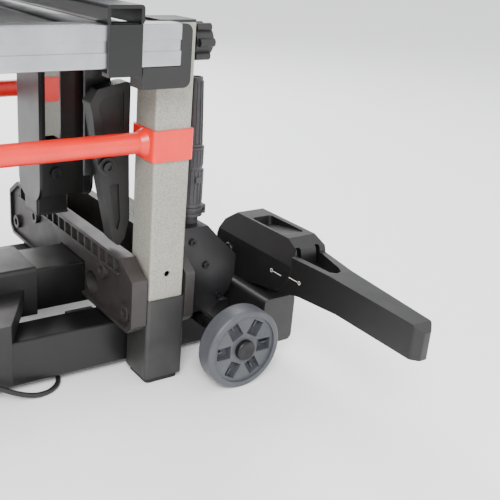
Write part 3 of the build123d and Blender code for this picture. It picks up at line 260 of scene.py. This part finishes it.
# %% moulded plastics
IOR_ABS, IOR_NYLON, IOR_PP = 1.54, 1.53, 1.49
black_abs = finish("abs_spark_grain_black", "#131212", "#0b0b0b", 0.5, 55, 0.7, 0.05, IOR=IOR_ABS)
boot_abs = finish("abs_boot_black", "#252624", "#191a19", 0.5, 40, 0.8, 0.05, IOR=IOR_ABS)
plate_nylon = finish("glass_filled_nylon_brown_black", "#2e2a28", "#1e1b1a", 0.5, 50, 0.6, 0.05,
                     IOR=IOR_NYLON)
arm_pp = finish("polypropylene_arm_black", "#151414", "#0d0c0c", 0.42, 70, 0.8, 0.04, IOR=IOR_PP)
bin_abs = finish("abs_dust_housing", "#171618", "#0f0e10", 0.38, 60, 0.9, 0.03, IOR=IOR_ABS)
wheel_pp = finish("polypropylene_wheel_grey", "#4a4c50", "#3a3c40", 0.5, 40, 0.8, 0.05, IOR=IOR_PP)
nozzle_pp = finish("polypropylene_nozzle_charcoal", "#3c3a3d", "#2b2a2c", 0.48, 35, 0.6, 0.04,
                   IOR=IOR_PP)
red_nylon = finish("nylon_gloss_red", "#c4211a", "#ad1711", 0.28, 60, 0.9, 0.02, IOR=IOR_NYLON)
insert_nylon = finish("nylon_insert_red", "#a82018", "#8c1912", 0.45, 20, 0.6, 0.03, IOR=IOR_NYLON)

# %% [markdown]
# Rubber scatters light, so its roughness is high and its relief shallow. The grips have a
# thermoplastic skin moulded with small domes, which are drawn as cells.

# %% rubbers
pad_rubber = finish("natural_rubber_black", "#1c1b1b", "#121111", 0.8, 25, 0.8, 0.06, spread=0.05)
lead_rubber = finish("pvc_lead_jacket_black", "#1d1c1c", "#131313", 0.5, 30, 1.2, 0.02)
grip_skin = finish("thermoplastic_grip_domes", "#252425", "#191819", 0.68, 30, 2.6, 0.25,
                   pattern="CELLS")

# %% [markdown]
# The metals. The saw's pins have bright zinc, and the stand's fasteners have black oxide. The
# rails and fences are drawn or machined aluminium, whose lines run along X, so the relief is
# stretched that way. The castings have a thin grey paint over the sand-like skin of a pressure
# die. The blade is ground in rings about its bore.

# %% metals
blade_low, blade_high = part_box("saw_blade")
blade_centre = (blade_low + blade_high) / 2
DRAWN_ALONG_X = (0.04, 1, 1)
zinc = finish("bright_zinc_plate", "#cfd1d4", "#aeb1b5", 0.3, 18, 0.8, 0.02, Metallic=1.0)
black_oxide = finish("black_oxide_steel", "#3a3a3b", "#262627", 0.36, 12, 0.8, 0.03, Metallic=0.8)
machined = finish("machined_aluminium", "#c2c3c5", "#a6a8aa", 0.33, 60, 0.7, 0.02,
                  stretch=DRAWN_ALONG_X, Metallic=1.0)
cast_paint = finish("painted_die_casting_grey", "#66696c", "#54575a", 0.46, 50, 1.3, 0.06)
table_cast = finish("machined_cast_table", "#a3a6a8", "#8a8d90", 0.34, 45, 0.9, 0.02,
                    pattern="RINGS", centre=tuple(-blade_centre), turn=(0, np.pi / 2, 0),
                    Metallic=1.0)
ground_steel = finish("ground_blade_steel", "#c9cbce", "#b0b2b6", 0.26, 50, 0.6, 0.015,
                      pattern="RINGS", centre=tuple(-blade_centre), Metallic=1.0)
smoke_guard = finish("polycarbonate_smoke_guard", "#8c9296", "#7d8387", 0.09, 60, 2.0, 0.01,
                     spread=0.02, IOR=1.585, **{"Transmission Weight": 0.85})

# %% which solid has which finish
FINISHES = {
    hammered_enamel: ["square_posts"],
    red_powder_coat: ["red_bars"],
    black_powder_coat: ["side_rails", "centre_tube", "lift_column", "channel_bracket",
                        "saddle_clamps"],
    black_abs: ["end_beam", "cross_bracket", "latch_lever", "rail_end_caps", "front_deck_knob",
                "rear_deck_knob", "end_plugs", "power_box", "mitre_lock_knob", "detent_lever",
                "bevel_lock_lever", "dust_fan", "trigger"],
    boot_abs: ["post_boots"],
    plate_nylon: ["ribbed_plates"],
    arm_pp: ["pedal_housing", "pedal_lever", "arm_release_button"],
    bin_abs: ["dust_bin_front", "dust_bin_body"],
    wheel_pp: ["front_wheel", "rear_wheel"],
    nozzle_pp: ["hose_socket", "hose_twist_collar", "hose_nozzle"],
    red_nylon: ["upper_guard", "motor_housing"],
    insert_nylon: ["kerf_plates"],
    pad_rubber: ["foot_pads"],
    lead_rubber: ["lead_run", "lead_coil", "lead_plug"],
    grip_skin: ["d_handle", "carry_handle"],
    black_oxide: ["wheel_axle", "latch_hanger", "stand_screws", "arbor_set"],
    zinc: ["turntable_pins", "arm_pivot_pins", "motor_rotor", "clamp_frame", "clamp_screw"],
    machined: ["deck_rails", "lower_fences", "left_sliding_fence", "right_sliding_fence"],
    cast_paint: ["saw_base", "bevel_arm", "head_casting"],
    table_cast: ["turntable"],
    ground_steel: ["saw_blade"],
    smoke_guard: ["lower_guard"]}


def dress(piece, material):
    """Give a piece one material in place of any it has."""
    piece.data.materials.clear()
    piece.data.materials.append(material)


for material, names in FINISHES.items():
    for name in names:
        dress(nodes[name], material)
dress(mains_lead, lead_rubber)
undressed = set(nodes) - {name for names in FINISHES.values() for name in names}
print("solids without a finish", sorted(undressed))

# %% [markdown]
# The small pieces are worked out as whole arrays. Two shapes cover them: a set of small blocks,
# each with its own centre and its own three directions, and a round ring. Both give points and
# faces, and one function turns those into a piece that rides on its body.

# %% blocks, rings and pieces
CORNERS = np.array([(x, y, z) for x in (-1, 1) for y in (-1, 1) for z in (-1, 1)])
BLOCK_FACES = np.array([(0, 1, 3, 2), (4, 6, 7, 5), (0, 4, 5, 1), (2, 3, 7, 6), (0, 2, 6, 4),
                        (1, 5, 7, 3)])


def blocks(centres, directions, half_sizes):
    """Corners are centre + sum of sign * half size * direction, for all blocks at once."""
    centres = np.asarray(centres, float)
    directions = np.broadcast_to(directions, (len(centres), 3, 3))
    steps = CORNERS * np.asarray(half_sizes)
    points = centres[:, None, :] + np.einsum("ck,nkj->ncj", steps, directions)
    faces = BLOCK_FACES[None] + 8 * np.arange(len(centres))[:, None, None]
    return points.reshape(-1, 3), faces.reshape(-1, 4)


def round_ring(centre, u_way, v_way, ring_r, wire_r, around=48, across=12):
    """Ring: centre + (ring radius + wire radius cos b)(u cos a + v sin a) + wire radius sin b w."""
    a = np.linspace(0, 2 * np.pi, around, endpoint=False)[:, None, None]
    b = np.linspace(0, 2 * np.pi, across, endpoint=False)[None, :, None]
    u, v = np.asarray(u_way, float), np.asarray(v_way, float)
    w = np.cross(u, v)
    points = (np.asarray(centre) + (ring_r + wire_r * np.cos(b)) * (u * np.cos(a) + v * np.sin(a))
              + wire_r * np.sin(b) * w)
    i, j = np.meshgrid(np.arange(around), np.arange(across), indexing="ij")
    ahead, beside = (i + 1) % around, (j + 1) % across
    faces = np.stack([i * across + j, ahead * across + j, ahead * across + beside,
                      i * across + beside], axis=-1)
    return points.reshape(-1, 3), faces.reshape(-1, 4)


def joined(*parts):
    """Several (points, faces) pairs as one."""
    starts = np.cumsum([0] + [len(points) for points, faces in parts[:-1]])
    return (np.concatenate([points for points, faces in parts]),
            np.concatenate([faces + start for start, (points, faces) in zip(starts, parts)]))


def piece(name, body, shape, material, slot, smooth=False):
    """Turn points and faces into a mesh piece on a body."""
    points, faces = shape
    mesh = bpy.data.meshes.new(name)
    mesh.from_pydata(points.tolist(), [], faces.tolist())
    mesh.polygons.foreach_set("use_smooth", np.full(len(faces), smooth))
    made = bpy.data.objects.new(name, mesh)
    bpy.context.scene.collection.objects.link(made)
    dress(made, material)
    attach(made, body)
    print(name, len(faces), "faces")
    return made


# %% [markdown]
# Two white marks are printed on the side of the pedal arm, one each side of its seam: a small
# circle with a line. They line up when the pedal is in its middle place. Ink stands a few
# hundredths of a millimetre proud, so each mark is a flat ring and a flat bar on the face.

# %% alignment marks on the pedal arm
INK_PROUD = 0.12 * MM
MARK_RING_R, MARK_WIRE_R = 2.2 * MM, 0.45 * MM
BAR_HALF_LENGTH, BAR_HALF_HEIGHT, BAR_REACH = 8.5 * MM, 0.5 * MM, 9.5 * MM
MARKS = (("housing_mark", "stand", -0.1313, -0.1343, 0.1412),
         ("lever_mark", "pedal_lever", -0.1887, -0.1857, 0.1452))
arm_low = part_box("pedal_lever")[0]
print_ink = finish("screen_printed_white_ink", "#e6e5e0", "#d2d1cb", 0.55, 10, 0.5, 0.01)
for mark, body, ring_at, bar_from, height in MARKS:
    bar_mid = bar_from + np.sign(bar_from - ring_at) * BAR_REACH
    ring = round_ring((arm_low.x, ring_at, height), (0, 1, 0), (0, 0, 1), MARK_RING_R,
                      MARK_WIRE_R)
    flat = ring[0].copy()
    flat[:, 0] = arm_low.x + np.clip(flat[:, 0] - arm_low.x, -INK_PROUD, INK_PROUD)
    bar = blocks([(arm_low.x, bar_mid, height)], np.eye(3),
                 (INK_PROUD, BAR_HALF_LENGTH, BAR_HALF_HEIGHT))
    piece(mark, body, joined((flat, ring[1]), bar), print_ink, "black_plastic")

# %% [markdown]
# Each of the wheel's six pockets has a thin rib across its floor, which keeps the thin moulding
# stiff. The ribs are blocks turned about the wheel's axis, sunk a little into the pocket's floor.

# %% wheel pocket ribs
POCKETS = 6
RIB_AT_R, RIB_DEPTH = 36.5 * MM, 10.5 * MM
RIB_HALF = (5 * MM, 3 * MM, 0.9 * MM)
for wheel, side in (("front_wheel", -1), ("rear_wheel", 1)):
    low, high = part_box(wheel)
    centre = (low + high) / 2
    face_y = low.y if side < 0 else high.y
    angle = 2 * np.pi * np.arange(POCKETS) / POCKETS
    out = np.stack([np.cos(angle), 0 * angle, np.sin(angle)], axis=1)
    tangent = np.stack([-np.sin(angle), 0 * angle, np.cos(angle)], axis=1)
    along = np.broadcast_to([0.0, 1.0, 0.0], out.shape)
    middle = np.array([centre.x, face_y - side * RIB_DEPTH, centre.z]) + out * RIB_AT_R
    ribs = blocks(middle, np.stack([out, along, tangent], axis=1), RIB_HALF)
    piece(wheel + "_ribs", wheel, ribs, wheel_pp, "grey_plastic")

# %% [markdown]
# The blade's forty teeth carry brazed carbide tips. A tip is a small block on the leading corner
# of its tooth, a little wider than the blade's body so that the cut clears it.

# %% carbide tips
TEETH = 40
TOOTH_PHASE = 0.42
TIP_INSET = 4.2 * MM
TIP_HALF = (1.5 * MM, 3.4 * MM, 1.2 * MM)
carbide = finish("tungsten_carbide_tips", "#8e9093", "#737578", 0.35, 6, 0.6, 0.02, Metallic=1.0)
blade_r = (blade_high.z - blade_low.z) / 2
angle = 2 * np.pi * (np.arange(TEETH) + TOOTH_PHASE) / TEETH
out = np.stack([0 * angle, np.cos(angle), np.sin(angle)], axis=1)
tangent = np.stack([0 * angle, -np.sin(angle), np.cos(angle)], axis=1)
sideways = np.broadcast_to([1.0, 0.0, 0.0], out.shape)
middle = np.array(blade_centre) + out * (blade_r - TIP_INSET)
tips = blocks(middle, np.stack([sideways, out, tangent], axis=1), TIP_HALF)
piece("carbide_tips", "blade", tips, carbide, "blade_steel")

# %% [markdown]
# The mitre scale is a row of ticks on the base, just outside the turntable, from 50 degrees left
# to 50 degrees right. Every fifth tick is longer. They are punched and filled with paint, so they
# are thin bars that lie flush on the casting.

# %% mitre scale
SCALE_DEG, SCALE_R, SCALE_OVER_TABLE_FOOT = 50, 156.5 * MM, 10.35 * MM
PIVOT_PIN_R = 8 * MM
TICK_HALF_WIDTH, TICK_HALF_HEIGHT = 0.22 * MM, 0.15 * MM
table_low, table_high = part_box("turntable")
turn_x = (table_low.x + table_high.x) / 2
turn_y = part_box("turntable_pins")[1].y - PIVOT_PIN_R
scale_paint = finish("scale_infill_paint_white", "#e9e7e0", "#d4d2ca", 0.5, 8, 0.5, 0.01)
for kind, step, half_length in (("short", 1, 1.6), ("long", 5, 3.2)):
    degrees = np.arange(-SCALE_DEG, SCALE_DEG + 1, step)
    degrees = degrees[degrees % 5 != 0] if kind == "short" else degrees
    angle = np.radians(degrees - 90)
    out = np.stack([np.cos(angle), np.sin(angle), 0 * angle], axis=1)
    tangent = np.stack([-np.sin(angle), np.cos(angle), 0 * angle], axis=1)
    up = np.broadcast_to([0.0, 0.0, 1.0], out.shape)
    middle = np.array([turn_x, turn_y, table_low.z + SCALE_OVER_TABLE_FOOT]) + out * SCALE_R
    ticks = blocks(middle, np.stack([out, tangent, up], axis=1),
                   (half_length * MM, TICK_HALF_WIDTH, TICK_HALF_HEIGHT))
    piece("mitre_scale_" + kind, "stand", ticks, scale_paint, "casting")

# %% [markdown]
# The stage is a pale floor that meets no wall in view, and three large soft lights: a key from the
# operator's left, a fill from the right and a rim from behind. Large lights give the soft edges
# that a bright overcast room gives.

# %% floor and lights
floor_mesh = bpy.data.meshes.new("floor")
FLOOR_HALF = 12.0
floor_corners = [(x * FLOOR_HALF, y * FLOOR_HALF, 0.0) for x, y in ((-1, -1), (1, -1), (1, 1),
                                                                    (-1, 1))]
floor_mesh.from_pydata(floor_corners, [], [(0, 1, 2, 3)])
floor = bpy.data.objects.new("floor", floor_mesh)
bpy.context.scene.collection.objects.link(floor)
dress(floor, finish("painted_studio_floor", "#ffffff", "#fcfcfc", 0.6, 400, 3.0, 0.01))


def soft_light(name, place, aim, size, watts):
    """Square area light at a place, turned so that it shines at a point."""
    data = bpy.data.lights.new(name, "AREA")
    data.shape = "SQUARE"
    data.size = size
    data.energy = watts
    lamp = bpy.data.objects.new(name, data)
    lamp.location = place
    lamp.rotation_euler = (Vector(aim) - Vector(place)).to_track_quat("-Z", "Y").to_euler()
    bpy.context.scene.collection.objects.link(lamp)


SKY_STRENGTH = 1.55
middle = (cad_low + cad_high) / 2
soft_light("key_light", (-1.5, -2.3, 2.4), middle, 1.4, 160)
soft_light("fill_light", (2.2, -1.6, 1.6), middle, 2.0, 18)
soft_light("rim_light", (0.6, 2.4, 2.2), middle, 1.6, 95)
world = bpy.data.worlds.new("studio")
bpy.context.scene.world = world
world.use_nodes = True
sky = world.node_tree.nodes["Background"]
sky.inputs["Color"].default_value = linear("#f4f5f7")
sky.inputs["Strength"].default_value = SKY_STRENGTH
